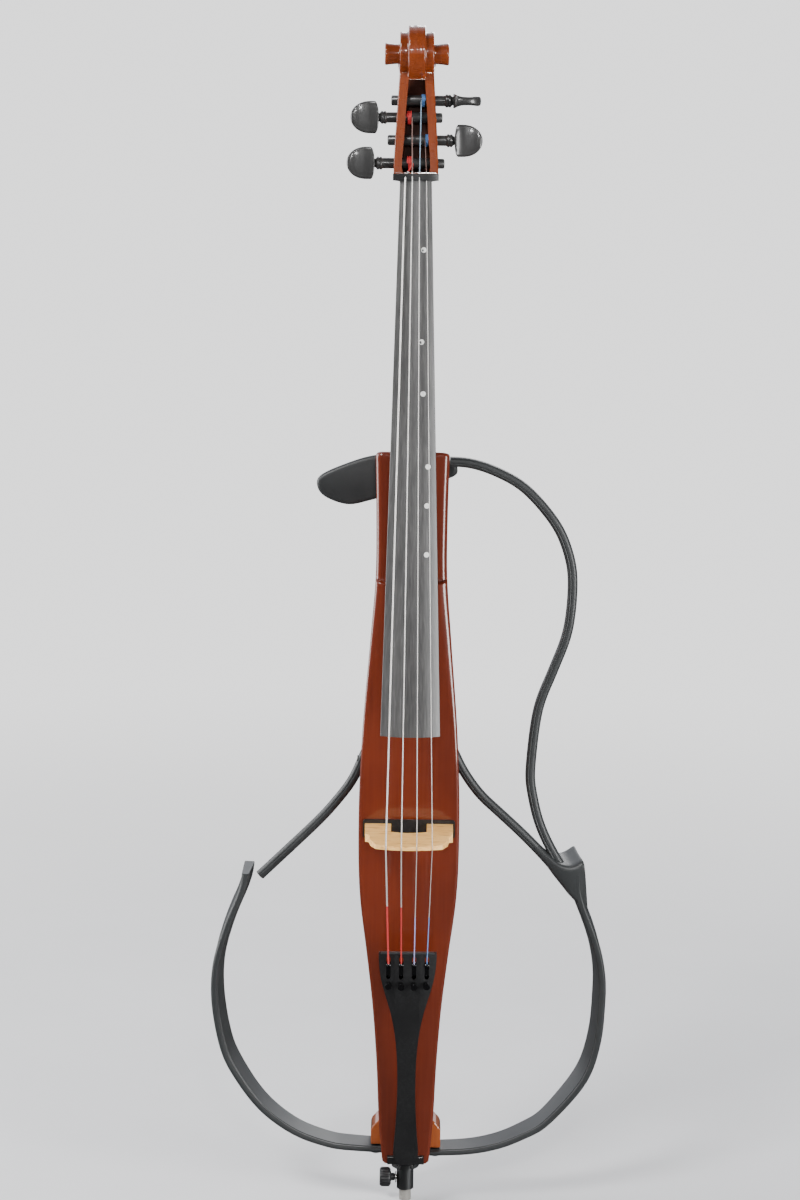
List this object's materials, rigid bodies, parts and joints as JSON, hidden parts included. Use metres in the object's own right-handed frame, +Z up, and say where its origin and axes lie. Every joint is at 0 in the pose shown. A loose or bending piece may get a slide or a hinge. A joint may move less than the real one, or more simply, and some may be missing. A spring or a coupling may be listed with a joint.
{
  "type": "electric cello",
  "caption": "Slim-bodied electric cello with a tubular outline frame, chest rest, arched fingerboard, scroll, bridge, tailpiece with fine tuners and sliding endpin.",
  "frame": {"origin": "centre of the rubber tip of the fully retracted endpin, on its lower face", "axes": "+Z up the body to the scroll, +X to the right seen from the front, strings face -Y"},
  "size_m": [0.4268, 0.1696, 1.2607],
  "materials": {
    "varnished_wood": "satin varnish, reddish brown",
    "scroll_wood": "gloss varnish, orange brown",
    "ebony": "oiled ebony",
    "black_wood": "satin black",
    "maple": "bare maple",
    "black_composite": "matte black composite",
    "frame_black": "matte charcoal coating",
    "steel": "brushed",
    "black_steel": "black plated",
    "string_metal": "wound string",
    "white_inlay": "pearl white",
    "rubber": "matte",
    "cord_black": "braided cord",
    "panel_black": "fine texture",
    "knob_black": "satin",
    "jack_metal": "nickel",
    "board_green": "solder mask",
    "cell_wrap": "foil wrap",
    "piezo_brass": "brass"
  },
  "bodies": {
    "instrument": {"battery_box": "black_composite", "battery_cells": "cell_wrap", "body_shell": "varnished_wood", "bridge": "maple", "chest_pad_bolt": "black_steel", "circuit_board": "board_green", "control_panel": "panel_black", "dc_jack": "black_composite", "endpin_plug": "black_steel", "endpin_washer": "steel", "fingerboard": "ebony", "frame_arm_right": "frame_black", "frame_bolts": "steel", "line_out_jack": "jack_metal", "lower_bout_right": "frame_black", "mini_jacks": "jack_metal", "neck": "scroll_wood", "nut": "black_wood", "pegbox_scroll": "scroll_wood", "pickup_lead": "cord_black", "pickup_plate": "black_composite", "piezo_strips": "piezo_brass", "position_dots": "white_inlay", "potentiometer": "steel", "saddle": "black_wood", "small_screws": "black_steel", "string_a": "string_metal", "string_c": "string_metal", "string_d": "string_metal", "string_g": "string_metal", "tail_block": "varnished_wood", "tail_cord": "cord_black", "tail_fret": "steel", "tailpiece": "black_composite", "top_plate": "varnished_wood", "tuner_pivot_rod": "steel", "upper_bout_rod": "frame_black"},
    "left_frame": {"lower_bout_left": "frame_black", "frame_arm_left": "frame_black"},
    "endpin": {"endpin_rod": "steel", "endpin_tip": "rubber"},
    "endpin_thumbscrew": {"endpin_thumbscrew": "black_steel"},
    "frame_pin_screw": {"frame_pin_screw": "black_steel"},
    "chest_pad": {"chest_pad": "frame_black"},
    "volume_knob": {"volume_knob": "knob_black"},
    "reverb_switch": {"reverb_switch": "knob_black"},
    "power_switch": {"power_switch": "knob_black"},
    "battery_cover": {"battery_cover": "panel_black"},
    "peg_c": {"peg_c": "black_composite"},
    "tuner_screw_c": {"tuner_screw_c": "black_steel"},
    "tuner_lever_c": {"tuner_lever_c": "black_steel"},
    "peg_g": {"peg_g": "black_composite"},
    "tuner_screw_g": {"tuner_screw_g": "black_steel"},
    "tuner_lever_g": {"tuner_lever_g": "black_steel"},
    "peg_d": {"peg_d": "black_composite"},
    "tuner_screw_d": {"tuner_screw_d": "black_steel"},
    "tuner_lever_d": {"tuner_lever_d": "black_steel"},
    "peg_a": {"peg_a": "black_composite"},
    "tuner_screw_a": {"tuner_screw_a": "black_steel"},
    "tuner_lever_a": {"tuner_lever_a": "black_steel"}
  },
  "joints": [
    {"name": "peg_c_turn", "type": "hinge", "parent": "instrument", "child": "peg_c", "pos_m": [0, -0.03847, 1.1217], "axis": [1, 0, 0], "continuous": true},
    {"name": "tuner_c_turn", "type": "hinge", "parent": "instrument", "child": "tuner_screw_c", "pos_m": [-0.0203, -0.06925, 0.264], "axis": [0, 0.9915, 0.13], "range_deg": [0, 1080]},
    {"name": "tuner_c_lever", "type": "hinge", "parent": "instrument", "child": "tuner_lever_c", "pos_m": [-0.0203, -0.0652, 0.276], "axis": [1, 0, 0], "range_deg": [0, 5]},
    {"name": "peg_g_turn", "type": "hinge", "parent": "instrument", "child": "peg_g", "pos_m": [0, -0.02967, 1.168], "axis": [1, 0, 0], "continuous": true},
    {"name": "tuner_g_turn", "type": "hinge", "parent": "instrument", "child": "tuner_screw_g", "pos_m": [-0.0068, -0.07128, 0.264], "axis": [0, 0.9915, 0.13], "range_deg": [0, 1080]},
    {"name": "tuner_g_lever", "type": "hinge", "parent": "instrument", "child": "tuner_lever_g", "pos_m": [-0.0068, -0.0652, 0.276], "axis": [1, 0, 0], "range_deg": [0, 5]},
    {"name": "peg_d_turn", "type": "hinge", "parent": "instrument", "child": "peg_d", "pos_m": [0, -0.0264, 1.1852], "axis": [1, 0, 0], "continuous": true},
    {"name": "tuner_d_turn", "type": "hinge", "parent": "instrument", "child": "tuner_screw_d", "pos_m": [0.0068, -0.07128, 0.264], "axis": [0, 0.9915, 0.13], "range_deg": [0, 1080]},
    {"name": "tuner_d_lever", "type": "hinge", "parent": "instrument", "child": "tuner_lever_d", "pos_m": [0.0068, -0.0652, 0.276], "axis": [1, 0, 0], "range_deg": [0, 5]},
    {"name": "peg_a_turn", "type": "hinge", "parent": "instrument", "child": "peg_a", "pos_m": [0, -0.03404, 1.145], "axis": [1, 0, 0], "continuous": true},
    {"name": "tuner_a_turn", "type": "hinge", "parent": "instrument", "child": "tuner_screw_a", "pos_m": [0.0203, -0.06925, 0.264], "axis": [0, 0.9915, 0.13], "range_deg": [0, 1080]},
    {"name": "tuner_a_lever", "type": "hinge", "parent": "instrument", "child": "tuner_lever_a", "pos_m": [0.0203, -0.0652, 0.276], "axis": [1, 0, 0], "range_deg": [0, 5]},
    {"name": "endpin_slide", "type": "slide", "parent": "instrument", "child": "endpin", "axis": [0, 0, -1], "range_m": [0, 0.36]},
    {"name": "endpin_thumbscrew_turn", "type": "hinge", "parent": "instrument", "child": "endpin_thumbscrew", "pos_m": [-0.02, 0, 0.0245], "axis": [-1, 0, 0], "range_deg": [0, 720]},
    {"name": "frame_pin_screw_turn", "type": "hinge", "parent": "instrument", "child": "frame_pin_screw", "pos_m": [-0.042, 0.036, 0.492], "axis": [0, 1, 0], "range_deg": [0, 720]},
    {"name": "left_frame_pull", "type": "slide", "parent": "instrument", "child": "left_frame", "axis": [-1, 0, 0], "range_m": [0, 0.05]},
    {"name": "chest_pad_turn", "type": "hinge", "parent": "instrument", "child": "chest_pad", "pos_m": [0, 0.036, 0.796], "axis": [0, 1, 0], "range_deg": [-90, 0]},
    {"name": "volume_turn", "type": "hinge", "parent": "instrument", "child": "volume_knob", "pos_m": [0, 0.034, 0.645], "axis": [0, 1, 0], "range_deg": [-145, 145]},
    {"name": "reverb_slide", "type": "slide", "parent": "instrument", "child": "reverb_switch", "axis": [1, 0, 0], "range_m": [0, 0.012]},
    {"name": "power_slide", "type": "slide", "parent": "instrument", "child": "power_switch", "axis": [1, 0, 0], "range_m": [0, 0.008]},
    {"name": "battery_cover_pull", "type": "slide", "parent": "instrument", "child": "battery_cover", "axis": [0, 1, 0], "range_m": [0, 0.03]}
  ],
  "couplings": [
    {"joint": "tuner_c_lever", "follows": "tuner_c_turn", "ratio": 0.004629},
    {"joint": "tuner_g_lever", "follows": "tuner_g_turn", "ratio": 0.004629},
    {"joint": "tuner_d_lever", "follows": "tuner_d_turn", "ratio": 0.004629},
    {"joint": "tuner_a_lever", "follows": "tuner_a_turn", "ratio": 0.004629}
  ]
}
